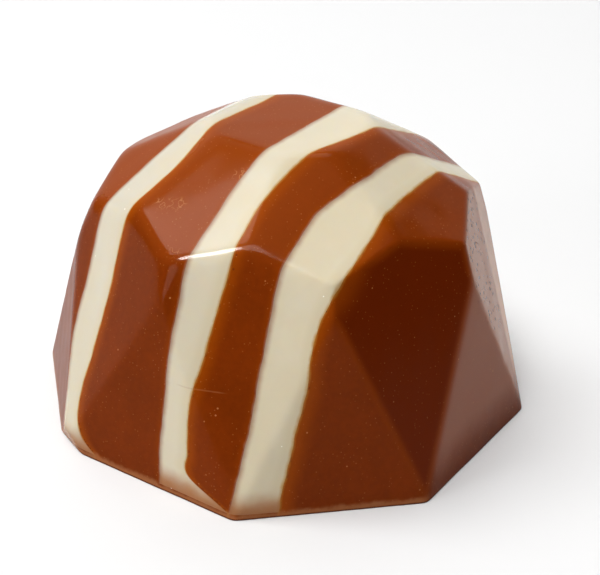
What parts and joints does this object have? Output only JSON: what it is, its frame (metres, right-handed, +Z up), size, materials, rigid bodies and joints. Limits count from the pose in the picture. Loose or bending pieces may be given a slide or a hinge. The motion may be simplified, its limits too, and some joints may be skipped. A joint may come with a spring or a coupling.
{
  "type": "chocolate bonbon",
  "caption": "Moulded milk chocolate bonbon, a small dome cut into facets like a gem, with white chocolate stripes set flush in it and a flat base.",
  "frame": {"origin": "middle of the flat base, in the plane that it stands on", "axes": "+Z up out of the base; Y along the white stripes, with -Y the shown end; X across them"},
  "size_m": [0.0284, 0.0284, 0.0178],
  "materials": {
    "milk_chocolate": "satin, from a polished mould",
    "white_chocolate": "satin, from a polished mould"
  },
  "bodies": {
    "root": {"chocolate_body": "milk_chocolate", "stripe_left": "white_chocolate", "stripe_middle": "white_chocolate", "stripe_right": "white_chocolate"}
  },
  "joints": []
}
